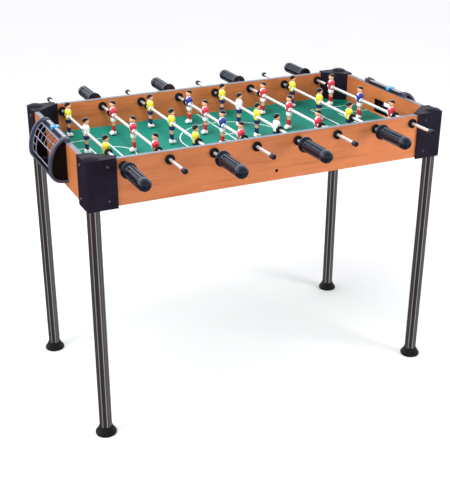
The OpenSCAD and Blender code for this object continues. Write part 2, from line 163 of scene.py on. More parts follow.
def wood(name, grain_axis, dark, light, roughness=0.4, coat=0.2):
    """Wood-grain laminate: broad soft figure, long fine streaks and short pores along one axis."""
    material, nodes, links, shader = new_material(name)

    def along(across_scale, grain_scale, offset=(0, 0, 0)):
        stretch = [across_scale] * 3
        stretch[grain_axis] = grain_scale
        return coordinates(nodes, links, stretch, offset)

    figure = noise(nodes, links, along(16.0, 2.2, (0.37, 0.61, 0.13)), 1.0, 3.0, 1.4)
    streaks = noise(nodes, links, along(95.0, 3.0), 1.0, 4.0, 0.5)
    pores = noise(nodes, links, along(620.0, 26.0), 1.0, 2.0)
    base = ramp(nodes, links, figure, ((0.26, shade(dark, 1.06)), (0.45, shade(light, 0.95)), (0.72, light)))
    lines = ramp(nodes, links, streaks, (
        (0.3, (0.8, 0.73, 0.67)), (0.45, (0.95, 0.93, 0.91)), (0.6, WHITE), (0.75, (0.91, 0.87, 0.83))))
    specks = ramp(nodes, links, pores, ((0.34, (0.7, 0.62, 0.56)), (0.5, WHITE)))
    colour = multiply(nodes, links, base, lines, 0.75)
    colour = multiply(nodes, links, colour, specks, 0.35)
    links.new(colour, shader.inputs["Base Color"])
    links.new(to_range(nodes, links, pores, roughness + 0.08, roughness - 0.04), shader.inputs["Roughness"])
    shader.inputs["Specular IOR Level"].default_value = 0.4
    shader.inputs["Coat Weight"].default_value = coat
    shader.inputs["Coat Roughness"].default_value = 0.3
    bump(nodes, links, shader, pores, 0.12, BUMP_REACH)
    return material


def moulded(name, colour, roughness, grain=900.0, depth=0.1, mottle=0.12, specular=0.5,
            gloss_tint=WHITE):
    """Moulded plastic or rubber: fine texture, slight mottling and handling wear in the gloss."""
    material, nodes, links, shader = new_material(name)
    vector = coordinates(nodes, links)
    cloud = noise(nodes, links, vector, 28.0, 4.0)
    tint = ramp(nodes, links, cloud, ((0.3, shade(colour, 1 - mottle)), (0.7, shade(colour, 1 + mottle))))
    links.new(tint, shader.inputs["Base Color"])
    smear = noise(nodes, links, vector, 60.0, 6.0, 0.4)
    links.new(to_range(nodes, links, smear, roughness - 0.07, roughness + 0.09), shader.inputs["Roughness"])
    shader.inputs["Specular IOR Level"].default_value = specular
    shader.inputs["Specular Tint"].default_value = (*gloss_tint, 1.0)
    bump(nodes, links, shader, noise(nodes, links, vector, grain, 2.0), depth, BUMP_REACH)
    return material


def painted(name, colour, roughness=0.24):
    """Glossy hand-sprayed paint on a moulded figure, with slight pooling and wear."""
    material, nodes, links, shader = new_material(name)
    vector = coordinates(nodes, links)
    cloud = noise(nodes, links, vector, 130.0, 4.0)
    tint = ramp(nodes, links, cloud, ((0.3, shade(colour, 0.86)), (0.68, colour)))
    links.new(tint, shader.inputs["Base Color"])
    links.new(to_range(nodes, links, cloud, roughness + 0.08, roughness - 0.05), shader.inputs["Roughness"])
    shader.inputs["Coat Weight"].default_value = 0.35
    shader.inputs["Coat Roughness"].default_value = 0.12
    bump(nodes, links, shader, noise(nodes, links, vector, 420.0, 3.0), 0.1, BUMP_REACH)
    return material


def polished(name, colour, roughness, brush_axis=2, metallic=1.0):
    """Polished or plated metal with faint drawing marks along one axis."""
    material, nodes, links, shader = new_material(name)
    shader.inputs["Metallic"].default_value = metallic
    stretch = [420.0, 420.0, 420.0]
    stretch[brush_axis] = 14.0
    marks = noise(nodes, links, coordinates(nodes, links, stretch), 1.0, 4.0)
    haze = noise(nodes, links, coordinates(nodes, links), 14.0, 5.0)
    tint = ramp(nodes, links, haze, ((0.3, shade(colour, 0.93)), (0.7, colour)))
    links.new(tint, shader.inputs["Base Color"])
    links.new(to_range(nodes, links, marks, roughness * 0.7, roughness * 1.5), shader.inputs["Roughness"])
    bump(nodes, links, shader, marks, 0.03, FINE_BUMP_REACH)
    return material


def playfield_material(name, colour):
    """Printed green board under a thin satin lacquer."""
    material, nodes, links, shader = new_material(name)
    vector = coordinates(nodes, links)
    cloud = noise(nodes, links, vector, 5.0, 5.0)
    tint = ramp(nodes, links, cloud, ((0.3, shade(colour, 0.85)), (0.7, shade(colour, 1.1))))
    speckle = ramp(nodes, links, noise(nodes, links, vector, 700.0, 2.0),
                   ((0.4, (0.9, 0.9, 0.9)), (0.6, WHITE)))
    links.new(multiply(nodes, links, tint, speckle, 0.7), shader.inputs["Base Color"])
    links.new(to_range(nodes, links, noise(nodes, links, vector, 45.0, 5.0), 0.45, 0.6),
              shader.inputs["Roughness"])
    shader.inputs["Specular IOR Level"].default_value = 0.1
    bump(nodes, links, shader, noise(nodes, links, vector, 420.0, 2.0), 0.05, FINE_BUMP_REACH)
    return material


LIGHT_WOOD = (0.56, 0.175, 0.056)
DARK_WOOD = (0.44, 0.127, 0.036)
WHITE_PAINT = (0.93, 0.93, 0.93)
WOOD_X = wood("wood_along_x", 0, DARK_WOOD, LIGHT_WOOD)
WOOD_Y = wood("wood_along_y", 1, DARK_WOOD, LIGHT_WOOD)
BATTEN = wood("batten", 0, (0.5, 0.34, 0.18), (0.68, 0.5, 0.3), 0.6, 0.0)
EDGE_BAND = moulded("edge_band", (0.15, 0.157, 0.195), 0.42)
BRACKET = moulded("bracket_plastic", (0.0135, 0.0105, 0.019), 0.42, 1100.0, 0.14, specular=0.05)
BLACK = moulded("black_plastic", (0.006, 0.006, 0.007), 0.25, specular=0.25)
GRIP = moulded("grip_plastic", (0.005, 0.006, 0.012), 0.2, 700.0, 0.04, specular=1.0,
               gloss_tint=(0.7, 0.8, 1.0))
RUBBER = moulded("rubber", (0.008, 0.0078, 0.0075), 0.42, 800.0, 0.15, specular=0.2)
BOX_PLASTIC = moulded("box_plastic", (0.052, 0.057, 0.09), 0.4, 1000.0, 0.12, specular=0.35)
# Black of the cheeks' recessed outer faces, also used as painted shade inside the return boxes.
CHEEK_BLACK_AND_SHADE = moulded("cheek_black_and_painted_shade", (0.004, 0.003, 0.004), 0.5, 1000.0, 0.1, specular=0.15)
NET = moulded("net_plastic", (0.2, 0.21, 0.28), 0.42)
RAIL = moulded("rail_plastic", (0.012, 0.012, 0.016), 0.36, specular=0.4)
SCALE = moulded("scale_strip", (0.2, 0.205, 0.29), 0.4)
SLIDER = painted("slider_plastic", (0.03, 0.33, 0.72), 0.2)
GREEN = playfield_material("playfield_green", (0.006, 0.185, 0.138))
LINE = moulded("line_paint", (0.8, 0.86, 0.84), 0.42, 500.0, 0.05, 0.04)
LEG_CHROME = polished("leg_chrome", (0.78, 0.77, 0.78), 0.1)
ROD_CHROME = polished("rod_chrome", (0.9, 0.9, 0.92), 0.14, 1, 0.72)
SCREW_STEEL = polished("screw_steel", (0.3, 0.3, 0.32), 0.3)
BOLT = polished("black_bolt", (0.03, 0.026, 0.03), 0.35)
PAINTS = {
    "shirt_yellow": painted("paint_yellow", (0.86, 0.72, 0.05)),
    "shirt_white": painted("paint_white", WHITE_PAINT),
    "shirt_red": painted("paint_shirt_red", (0.62, 0.035, 0.07)),
    "shirt_blue": painted("paint_blue", (0.035, 0.04, 0.3)),
    "kit_navy": painted("paint_navy", (0.012, 0.018, 0.11)),
    "kit_red": painted("paint_sock_red", (0.58, 0.012, 0.02)),
    "kit_white": painted("paint_kit_white", WHITE_PAINT),
    "skin_paint": painted("paint_skin", (0.88, 0.46, 0.28), 0.32),
    # Black of the hair, also used for the painted shade of the rod holes in the players' bosses.
    "hair_paint": painted("paint_hair_and_hole_shade", (0.005, 0.004, 0.005), 0.12),
}


# ---- Mesh helpers ----

BEVEL_SEGMENTS = 3
SHARP_ANGLE = math.radians(32)
FLAT_ANGLE = math.radians(1.0)
WELD_DISTANCE = 0.002
SMALLEST_RADIUS = 0.05


def add_piece(name, bm, material, body, replaced=(), smooth_angle=35):
    """Turns a mesh in millimetres into a piece of the object."""
    bmesh.ops.recalc_face_normals(bm, faces=bm.faces)
    mesh = bpy.data.meshes.new(name)
    bm.to_mesh(mesh)
    bm.free()
    mesh.transform(Matrix.Scale(MM, 4))
    return finish_piece(name, mesh, material, body, replaced, smooth_angle)


def finish_piece(name, mesh, material, body, replaced, smooth_angle):
    """Gives a mesh in metres its material, shading and body, and hides the CAD nodes it stands for."""
    mesh.materials.clear()
    mesh.materials.append(material)
    mesh.shade_smooth()
    mesh.set_sharp_from_angle(angle=math.radians(smooth_angle))
    piece = bpy.data.objects.new(name, mesh)
    bpy.context.scene.collection.objects.link(piece)
    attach(piece, body)
    if replaced:
        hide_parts(*replaced)
    return piece


def softened(node, material, body, width):
    """A copy of a CAD node with rounded edges, which stands for the node."""
    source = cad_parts[node]
    bm = bmesh.new()
    bm.from_mesh(source.data)
    bmesh.ops.scale(bm, vec=(1 / MM,) * 3, verts=bm.verts)
    bmesh.ops.remove_doubles(bm, verts=bm.verts, dist=WELD_DISTANCE)
    bmesh.ops.dissolve_limit(bm, angle_limit=FLAT_ANGLE, verts=bm.verts, edges=bm.edges)
    sharp = [e for e in bm.edges
             if len(e.link_faces) == 2 and e.calc_face_angle(0.0) > SHARP_ANGLE]
    bmesh.ops.bevel(bm, geom=sharp, offset=width, segments=BEVEL_SEGMENTS, profile=0.5,
                    affect="EDGES", clamp_overlap=True)
    piece = add_piece(node + "_look", bm, material, body, (node,), 30)
    piece.modifiers.new("even_shading", "WEIGHTED_NORMAL").keep_sharp = True
    return piece


def repaint(node, material):
    """Gives a CAD node that stays visible its material."""
    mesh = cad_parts[node].data
    mesh.materials.clear()
    mesh.materials.append(material)


def smooth_keys(keys, steps):
    """Catmull-Rom interpolation through tuples of equal length."""
    rows = []
    last = len(keys) - 1
    for i in range(last):
        p0, p1, p2, p3 = (keys[max(0, min(last, i + d))] for d in (-1, 0, 1, 2))
        for step in range(steps):
            t = step / steps
            rows.append(tuple(
                0.5 * (2 * b + (c - a) * t + (2 * a - 5 * b + 4 * c - d) * t * t
                       + (3 * b - a - 3 * c + d) * t ** 3)
                for a, b, c, d in zip(p0, p1, p2, p3)))
    rows.append(tuple(keys[-1]))
    return rows


def oval(rx, ry, power, count):
    """Points of a superellipse about the origin."""
    points = []
    for i in range(count):
        angle = 2 * math.pi * i / count
        c, s = math.cos(angle), math.sin(angle)
        points.append((math.copysign(abs(c) ** (2 / power), c) * rx,
                       math.copysign(abs(s) ** (2 / power), s) * ry))
    return points


def skin_rings(bm, rings):
    """Closed surface through rings of equally many points, with both ends filled."""
    rows = [[bm.verts.new(p) for p in ring] for ring in rings]
    count = len(rows[0])
    for lower, upper in zip(rows, rows[1:]):
        for i in range(count):
            j = (i + 1) % count
            bm.faces.new((lower[i], lower[j], upper[j], upper[i]))
    for ring in (rows[0], rows[-1]):
        centre = bm.verts.new(sum((v.co for v in ring), Vector()) / count)
        for i in range(count):
            bm.faces.new((ring[i], ring[(i + 1) % count], centre))


def lathe(bm, profile, matrix, count=40):
    """Turns (height, radius) pairs about the local Z axis."""
    rings = []
    for height, radius in profile:
        rings.append([matrix @ Vector((x, y, height)) for x, y in oval(radius, radius, 2, count)])
    skin_rings(bm, rings)


def upright(bm, keys, place, power=2.4, steps=4, count=24, y0=0.0):
    """Body part skinned over keys of (z, centre x, half depth, half width)."""
    rings = []
    for z, cx, rx, ry in smooth_keys(keys, steps):
        outline = oval(max(rx, SMALLEST_RADIUS), max(ry, SMALLEST_RADIUS), power, count)
        rings.append([place @ Vector((cx + x, y0 + y, z)) for x, y in outline])
    skin_rings(bm, rings)


def ball(bm, centre, radii, place, count):
    """Ellipsoid of the given centre and radii."""
    rings = []
    for i in range(1, count):
        angle = math.pi * i / count
        z = centre[2] - radii[2] * math.cos(angle)
        outline = oval(radii[0] * math.sin(angle), radii[1] * math.sin(angle), 2, 2 * count)
        rings.append([place @ Vector((centre[0] + x, centre[1] + y, z)) for x, y in outline])
    skin_rings(bm, rings)


# ---- Players ----
# Heights are from the rod's axis, and +X is the way a player faces.

SOLE = -54.3
# How far the shoes, legs, forearms and sleeves lie from a player's middle.
SHOE_SPREAD, LEG_SPREAD, ARM_SPREAD, SLEEVE_SPREAD = 3.85, 3.75, 10.8, 9.85
HUB_HALF = 13.0
SLEEVE_TOP, SLEEVE_LEAN = 16.6, 0.1
HAIRLINE, HAIR_RISE, HAIR_TOP = 29.4, 0.55, 35.5


def shoes(bm, place):
    """Shoes skinned along X over keys of (x, half height, half width)."""
    keys = ((-5.9, 1.6, 1.8), (-5.5, 3.4, 3.1), (-4.1, 5.0, 3.75), (-1.2, 5.7, 3.85), (2.4, 5.3, 3.75),
            (5.4, 4.2, 3.85), (8.0, 3.4, 3.9), (9.7, 2.7, 3.2), (10.5, 1.6, 1.8))
    for side in (-1, 1):
        rings = []
        for x, half_height, half_width in smooth_keys(keys, 3):
            rings.append([place @ Vector((x, side * SHOE_SPREAD + y, SOLE + half_height + z))
                          for y, z in oval(half_width, half_height, 2.9, 24)])
        skin_rings(bm, rings)


def lower_legs(bm, place, z0, z1, r0, r1):
    """Both legs from z0 to z1, with radius r0 at z0 and r1 at z1, and a little fuller between."""
    middle_z, middle_r = (z0 + z1) / 2, (r0 + r1) / 2
    keys = ((z0, -0.2, r0, r0), (middle_z, -0.2, middle_r + 0.2, middle_r + 0.1), (z1, 0.0, r1, r1))
    for side in (-1, 1):
        upright(bm, keys, place, 2.1, 3, 20, side * LEG_SPREAD)


def socks(bm, place):
    lower_legs(bm, place, -46.0, -29.5, 3.6, 4.0)


def knees(bm, place):
    lower_legs(bm, place, -30.5, -16.5, 3.5, 3.95)


def shorts(bm, place):
    upright(bm, ((-18.0, 0.0, 5.8, 8.6), (-17.3, 0.0, 6.7, 9.5), (-13.5, -0.1, 6.9, 9.6),
                 (-9.5, -0.1, 6.8, 9.4), (-6, 0.0, 6.4, 9.0), (-3.5, 0.1, 5.8, 8.6)), place, 2.8)


def shirt(bm, place):
    upright(bm, ((-7.6, 0.0, 6.2, 9.0), (-6.9, 0.0, 7.0, 9.8), (-3, 0.0, 7.0, 9.7), (2, 0.2, 7.6, 10.2),
                 (8, 0.4, 8.6, 11.4), (12.5, 0.2, 8.4, 11.8), (16, -0.1, 7.2, 11.0), (18.4, -0.2, 5.8, 8.6),
                 (19.9, -0.1, 4.8, 5.6)), place, 2.5)
    sleeve = ((SLEEVE_TOP, 1.2), (15.8, 2.5), (12.5, 3.1), (8.5, 3.1), (4.6, 3.2), (3.6, 2.6))
    for side in (-1, 1):
        rings = []
        for z, r in smooth_keys(sleeve, 3):
            lean = (SLEEVE_TOP - z) * SLEEVE_LEAN
            outline = oval(r, r, 2, 18)
            rings.append([place @ Vector((x - lean, side * SLEEVE_SPREAD + y, z)) for x, y in outline])
        skin_rings(bm, rings)


def forearms(bm, place):
    keys = ((-5.4, -1.2, 1.0, 0.9), (-4.6, -1.2, 2.0, 1.7), (0.0, -1.6, 2.1, 1.8), (4.8, -1.3, 2.4, 2.2))
    for side in (-1, 1):
        upright(bm, keys, place, 2.1, 3, 16, side * ARM_SPREAD)


def hub(bm, place):
    """Boss through the waist that grips the rod."""
    turn = place @ Matrix.Rotation(math.radians(-90), 4, "X")
    half = ((8.6, 6.5), (12.2, 6.2), (12.8, 5.8), (HUB_HALF, 5.0))
    lathe(bm, [(-height, radius) for height, radius in reversed(half)] + list(half), turn, 32)


def rod_hole_shade(bm, place):
    """Painted shade: a dark ring at each end of the boss, standing for the shade in the hole where the rod
    goes in.
    """
    for side in (-1, 1):
        turn = place @ Matrix.Rotation(math.radians(-90 * side), 4, "X")
        lathe(bm, ((12.6, 4.15), (HUB_HALF, 4.2), (13.05, 4.5), (HUB_HALF, 4.95), (12.6, 5.0)), turn, 24)


def collar(bm, place):
    """Collar round the neck and the open flap below it."""
    upright(bm, ((17.8, 0.0, 5.4, 7.2), (18.8, 0.2, 5.6, 7.0), (20.2, 0.3, 4.8, 5.4), (21.0, 0.3, 4.1, 4.3)),
            place, 2.2, 3)
    upright(bm, ((12.0, 8.4, 0.3, 0.5), (13.4, 7.7, 1.2, 1.8), (16.4, 5.6, 2.2, 3.6), (19.2, 3.0, 2.4, 3.8)),
            place, 2.0, 3, 16)


# Heights, centres, half depths and half widths of the head, which the hair follows.
HEAD = ((20.4, 0.8, 3.4, 3.3), (21.8, 1.0, 5.4, 4.9), (24.4, 1.0, 6.9, 6.4), (28.0, 0.7, 7.6, 7.0),
        (31.4, 0.3, 7.7, 7.1), (34.4, -0.1, 6.8, 6.4), (36.5, -0.3, 4.6, 4.4), (37.4, -0.4, 1.9, 1.9))


def head(bm, place):
    """Neck, head, nose and ears."""
    upright(bm, ((17.0, 0.0, 4.0, 4.0), (19.6, 0.2, 3.8, 3.7), (22.8, 0.5, 3.9, 3.7)), place, 2.1, 3)
    upright(bm, HEAD, place, 2.2, 4, 28)
    upright(bm, ((25.0, 7.9, 0.4, 0.5), (25.9, 8.3, 1.0, 1.0), (27.8, 8.0, 0.8, 0.7), (29.2, 7.8, 0.3, 0.4)),
            place, 2.0, 3, 12)
    for side in (-1, 1):
        ball(bm, (-0.2, side * 7.0, 27.6), (1.4, 0.8, 2.1), place, 8)


def hair(bm, place):
    """Cap of hair that dips inside the head below a slanted hairline, with the eyes and brows."""
    rings = []
    for z, cx, rx, ry in smooth_keys(HEAD, 5):
        ring = []
        for x, y in oval(rx, ry, 2.2, 32):
            line = HAIRLINE + 0.5 * (x + cx) + 0.3 * max(0.0, abs(y) - 4.0)
            swell = HAIR_RISE * max(0.0, min(1.0, (z - line) / 0.7))
            factor = 0.93 if z < line - 0.2 else 1.0 + swell / max(rx, ry, 1.0)
            rise = 0.35 if z > HAIR_TOP else 0.0
            ring.append(place @ Vector((cx + x * factor, y * factor, z + rise)))
        rings.append(ring)
    skin_rings(bm, rings)
    for side in (-1, 1):
        ball(bm, (8.1, side * 2.7, 28.5), (0.35, 0.8, 0.6), place, 6)
        upright(bm, ((30.0, 7.75, 0.3, 1.2), (30.3, 7.7, 0.35, 1.4), (30.6, 7.6, 0.2, 1.0)),
                place, 2.0, 1, 12, side * 2.8)


def add_players(rod):
    """The men of a rod, in one piece for each paint."""
    lo, hi = box_mm(f"rod_{rod}_players")
    axis_lo, axis_hi = box_mm(f"rod_{rod}_shaft")
    first, last = lo.y + HUB_HALF, hi.y - HUB_HALF
    near_team = rod % 2 == 1
    facing = Matrix.Rotation(0 if near_team else math.pi, 4, "Z")
    sock_paint = "kit_navy" if near_team else "kit_red"
    shorts_paint = "kit_navy" if near_team else "kit_white"
    meshes = {}
    for i, colour in enumerate(SHIRTS[rod]):
        y = first + (last - first) * i / (len(SHIRTS[rod]) - 1)
        centre = Vector(((axis_lo.x + axis_hi.x) / 2, y, (axis_lo.z + axis_hi.z) / 2))
        place = Matrix.Translation(centre) @ facing
        # The hair's black also paints a dark ring at each end of the boss: painted shade for the rod's hole.
        for slot, build in (
                ("kit_white", shoes), (sock_paint, socks), ("skin_paint", knees), (shorts_paint, shorts),
                ("shirt_" + colour, shirt), ("skin_paint", forearms), ("kit_white", hub),
                ("hair_paint", rod_hole_shade), ("kit_white", collar), ("skin_paint", head), ("hair_paint", hair)):
            if slot not in meshes:
                meshes[slot] = bmesh.new()
            build(meshes[slot], place)
    stands_for = (f"rod_{rod}_players",)
    for slot, bm in meshes.items():
        add_piece(f"rod_{rod}_{slot}", bm, PAINTS[slot], f"rod_{rod}", stands_for, 50)


# ---- Handles ----

GRIP_LENGTH = 117.0
GRIP_RADIUS = 16.0
GRIP_POINTS = 120
RIBS_FROM, RIBS_TO = 17.0, 95.0
# Rows of ribs round the grip; every other one is broken into bumps.
RIB_ROWS = 12
RIB_DEPTH = 3.6
RIB_FADE = 2.5
RING_STEP = 0.9
BUMP_PITCH = 11.0
# Distances along the cap on a rod's far end, and its radius there.
END_CAP = ((0.0, 4.6), (0.3, 5.6), (1.2, 6.4), (2.6, 6.7), (9.0, 6.75), (9.4, 6.4), (10.2, 6.4),
           (10.6, 6.75), (13.2, 6.7), (13.8, 6.4), (14.0, 5.8))


def grip_profile():
    """Distances along the handle and the smooth radius there."""
    flange = [(0.0, 18.4), (0.4, 19.3), (1.3, 19.9), (3.0, 20.0), (4.6, 19.8), (5.5, 19.2), (5.9, 18.2),
              (6.2, 16.4), (7.0, 15.2), (9.0, 14.9), (11.5, 15.1), (14.0, 15.8), (15.5, GRIP_RADIUS)]
    rings = int((RIBS_TO - RIBS_FROM) / RING_STEP) + 1
    ribbed = [(RIBS_FROM + i * RING_STEP, GRIP_RADIUS) for i in range(rings)]
    smooth = [(RIBS_TO + 1.5, GRIP_RADIUS), (GRIP_LENGTH - GRIP_RADIUS, GRIP_RADIUS)]
    dome = []
    for i in range(1, 12):
        angle = math.radians(90 * i / 12)
        along = GRIP_LENGTH - GRIP_RADIUS + GRIP_RADIUS * math.sin(angle)
        dome.append((along, GRIP_RADIUS * math.cos(angle)))
    return flange + ribbed + smooth + dome


def smooth_step(value, low, high):
    """Smooth rise from 0 at low to 1 at high."""
    t = max(0.0, min(1.0, (value - low) / (high - low)))
    return t * t * (3 - 2 * t)


def rib_relief(along, turn):
    """How far the surface sinks below the smooth radius at a place on the ribbed part."""
    fade_in = smooth_step(along, RIBS_FROM, RIBS_FROM + RIB_FADE)
    fade_out = 1 - smooth_step(along, RIBS_TO - RIB_FADE, RIBS_TO)
    fade = fade_in * fade_out
    row = turn * RIB_ROWS / (2 * math.pi)
    across = abs((row % 1.0) - 0.5) * 2
    groove = smooth_step(across, 0.44, 0.68)
    broken = int(math.floor(row)) % 2 == 0
    beat = abs(((along - RIBS_FROM) / BUMP_PITCH) % 1.0 - 0.5) * 2
    gap = smooth_step(beat, 0.66, 0.95) * 0.75 if broken else 0.0
    return RIB_DEPTH * fade * max(groove, gap)


def add_grip(rod):
    """Ribbed grip on the player's end of a rod, and the cap on its other end."""
    side = -1 if rod % 2 == 1 else 1
    lo, hi = box_mm(f"rod_{rod}_grips")
    centre_x, centre_z = (lo.x + hi.x) / 2, (lo.z + hi.z) / 2
    tip, far_end = (lo.y, hi.y) if side < 0 else (hi.y, lo.y)
    start = tip - side * GRIP_LENGTH
    bm = bmesh.new()
    rings = []
    for along, radius in grip_profile():
        ring = []
        for i in range(GRIP_POINTS):
            turn = 2 * math.pi * i / GRIP_POINTS
            r = radius - (rib_relief(along, turn) if RIBS_FROM < along < RIBS_TO else 0.0)
            x, z = centre_x + r * math.cos(turn), centre_z + r * math.sin(turn)
            ring.append(Vector((x, start + side * along, z)))
        rings.append(ring)
    skin_rings(bm, rings)
    quarter_turn = Matrix.Rotation(math.radians(-90 * side), 4, "X")
    lathe(bm, END_CAP, Matrix.Translation((centre_x, far_end, centre_z)) @ quarter_turn)
    add_piece(f"rod_{rod}_grip", bm, GRIP, f"rod_{rod}", (f"rod_{rod}_grips",), 40)


# ---- Field lines, screws and scale marks ----

def strip(bm, points, width, thickness, closed=False):
    """Flat band of even width along a polyline in the plane z = points' z."""
    count = len(points)
    left, right = [], []
    for i, p in enumerate(points):
        before = points[(i - 1) % count] if closed or i > 0 else p
        after = points[(i + 1) % count] if closed or i < count - 1 else p
        direction = (after - before).normalized()
        normal = Vector((-direction.y, direction.x, 0))
        arriving = (p - before).normalized() if (p - before).length > 0 else direction
        stretch = 1 / max(0.5, abs(normal.dot(Vector((-arriving.y, arriving.x, 0)))))
        left.append(p + normal * width / 2 * stretch)
        right.append(p - normal * width / 2 * stretch)
    up = Vector((0, 0, thickness))
    a, b, c, d = [[bm.verts.new(v) for v in row] for row in
                  (left, right, [v + up for v in left], [v + up for v in right])]
    span = count if closed else count - 1
    for i in range(span):
        j = (i + 1) % count
        bm.faces.new((c[i], c[j], d[j], d[i]))
        bm.faces.new((a[i], a[j], c[j], c[i]))
        bm.faces.new((b[i], b[j], d[j], d[i]))
        bm.faces.new((a[i], a[j], b[j], b[i]))
    if not closed:
        for i in (0, count - 1):
            bm.faces.new((a[i], b[i], d[i], c[i]))


def arc(centre, radius, start, end, steps):
    """Points of a level arc from one angle to another, in degrees."""
    points = []
    for i in range(steps + 1):
        angle = math.radians(start + (end - start) * i / steps)
        x, y = centre.x + radius * math.cos(angle), centre.y + radius * math.sin(angle)
        points.append(Vector((x, y, centre.z)))
    return points


def add_field_lines():
    """Middle line, circle and spot, and at each end two areas with an arc before them."""
    lo, hi = box_mm("playfield")
    top = hi.z
    width, thickness = 2.8, 0.15
    circle_r, spot_r = 141.0, 30.0
    area_x, area_y = 319.0, 137.0
    goal_x, goal_y = 375.0, 72.0
    arc_x, arc_r = 342.0, 64.0
    bm = bmesh.new()
    centre = Vector((0, 0, top))
    strip(bm, [Vector((0, lo.y + 1, top)), Vector((0, hi.y - 1, top))], width, thickness)
    for radius in (circle_r, spot_r):
        strip(bm, arc(centre, radius, 0, 360, 96)[:-1], width, thickness, True)
    reach = math.degrees(math.acos((arc_x - area_x) / arc_r))
    for side in (-1, 1):
        edge = side * (hi.x - 0.5)
        for x, y in ((area_x, area_y), (goal_x, goal_y)):
            strip(bm, [Vector((edge, -y, top)), Vector((side * x, -y, top)), Vector((side * x, y, top)),
                       Vector((edge, y, top))], width, thickness)
        middle = 180 if side > 0 else 0
        arc_centre = Vector((side * arc_x, 0, top))
        strip(bm, arc(arc_centre, arc_r, middle - reach, middle + reach, 32), width, thickness)
    add_piece("field_lines", bm, LINE, TABLE)


# Screws lie this far from a bracket's edge, below the rim and above the panels' lower edge.
SCREW_EDGE, SCREW_DROP, SCREW_RISE = 22.0, 16.0, 16.0
# A bracket's thickness over the panels, and its reach along the long panels and the end panels.
PROUD, BRACKET_SIDE, BRACKET_END = 5.5, 75.0, 64.0
SCREW_RADIUS = 4.0
CROSS_ARM, CROSS_HALF_WIDTH, CROSS_DEPTH = 2.0, 0.42, 1.0
# Heights of a screw head's dome, and its share of the radius there.
SCREW_DOME = ((-0.4, 1.0), (0.3, 1.0), (0.9, 0.94), (1.45, 0.78), (1.8, 0.56), (1.95, 0.34), (2.0, 0.12))


def screw_head(bm, centre, outward):
    """Domed head with a cross recess, on a face whose outward direction is given."""
    turn = Vector(outward).to_track_quat("Z", "Y").to_matrix().to_4x4()
    place = Matrix.Translation(centre) @ turn
    count = 48
    rings = []
    for height, share in SCREW_DOME:
        ring = []
        for i in range(count):
            angle = 2 * math.pi * i / count
            x, y = SCREW_RADIUS * share * math.cos(angle), SCREW_RADIUS * share * math.sin(angle)
            in_cross = min(abs(x), abs(y)) < CROSS_HALF_WIDTH and max(abs(x), abs(y)) < CROSS_ARM
            ring.append(place @ Vector((x, y, height - (CROSS_DEPTH if in_cross else 0.0))))
        rings.append(ring)
    skin_rings(bm, rings)


def add_screws():
    """Screw heads on the corner brackets and bolt heads on the long panels."""
    end_lo, end_hi = box_mm("right_end_panel")
    half_l, half_w = end_hi.x, box_mm("back_panel")[1].y
    heights = (box_mm("edge_bands")[1].z - SCREW_DROP, end_lo.z + SCREW_RISE)
    screw_x = half_l + PROUD - BRACKET_SIDE + SCREW_EDGE
    screw_y = half_w + PROUD - BRACKET_END + SCREW_EDGE
    bm = bmesh.new()
    for sx in (-1, 1):
        for sy in (-1, 1):
            for z in heights:
                screw_head(bm, (sx * screw_x, sy * (half_w + PROUD), z), (0, sy, 0))
                screw_head(bm, (sx * (half_l + PROUD), sy * screw_y, z), (sx, 0, 0))
    add_piece("corner_screws_look", bm, SCREW_STEEL, TABLE, ("corner_screws",), 40)
    lo, hi = box_mm("beam_bolts")
    bm = bmesh.new()
    for sy in (-1, 1):
        screw_head(bm, (0, sy * half_w, (lo.z + hi.z) / 2), (0, sy, 0))
    add_piece("beam_bolts_look", bm, BOLT, TABLE, ("beam_bolts",), 40)


SCALE_WIDTH = 7.6
TICKS, TICK_MARGIN, TICK_WIDTH = 11, 12, 1.2
LONG_TICK, SHORT_TICK = 7.2, 4.4


def add_scale(end):
    """Pale strip with raised ticks along a score rail, every fifth tick longer."""
    lo, hi = box_mm(f"score_rail_{end}")
    middle = (lo.x + hi.x) / 2
    bm = bmesh.new()
    ends = [Vector((middle, lo.y + 3, hi.z)), Vector((middle, hi.y - 3, hi.z))]
    strip(bm, ends, SCALE_WIDTH, 0.12)
    add_piece(f"scale_strip_{end}", bm, SCALE, TABLE)
    bm = bmesh.new()
    z = hi.z + 0.1
    for i in range(TICKS):
        y = lo.y + TICK_MARGIN + (hi.y - lo.y - 2 * TICK_MARGIN) * i / (TICKS - 1)
        half = LONG_TICK / 2 if i % 5 == 0 else SHORT_TICK / 2
        strip(bm, [Vector((middle - half, y, z)), Vector((middle + half, y, z))], TICK_WIDTH, 0.1)
    add_piece(f"scale_ticks_{end}", bm, LINE, TABLE)


# ---- Return boxes ----

# A return box's widest part lies this far below the rim; from there it reaches out, up and down.
BOX_MIDDLE = 63.0
BOX_OUT, BOX_UP, BOX_DOWN = 45.0, 76.0, 36.0
TOP_POWER, LOW_POWER = 1.85, 2.6
NET_INSET, NET_THICK = 8.2, 1.8
# Angles of the net's bars on the outline, from the top one down.
NET_ROWS = (73, 52, 33, 16, -8)
NET_COLUMNS = 6
BROKEN_ROW = 3
NET_MARGIN, COLUMN_MARGIN = 0.3, 1.2
WIDE_ROW, THIN_ROW, WIDE_COLUMN, THIN_COLUMN = 2.8, 1.5, 2.4, 1.4
COLUMN_STEPS = 14
CHEEK_INSET, CHEEK_FROM, CHEEK_TO = 6.3, 5.5, 4.6
# Inset and half thickness of the dark skins that paint the shade inside a return box.
SHADE_SKIN_INSET, SHADE_SKIN_HALF = 10.6, 0.3
LIP_OUTSIDE, LIP_INSIDE, LIP_MARGIN = 2.4, 3.0, 0.4
POST_OUTSIDE, POST_INSIDE, POST_MARGIN = 5.5, 7.6, 0.2
POST_SHARE_OF_CELL = 0.86
PANEL_CLEARANCE = 0.4


def box_place(end, side):
    """Outer face of an end panel, height of its return box's widest part, and side."""
    lo, hi = box_mm(f"{end}_end_panel")
    end_x = hi.x if side > 0 else -lo.x
    return end_x, box_mm("edge_bands")[1].z - BOX_MIDDLE, side


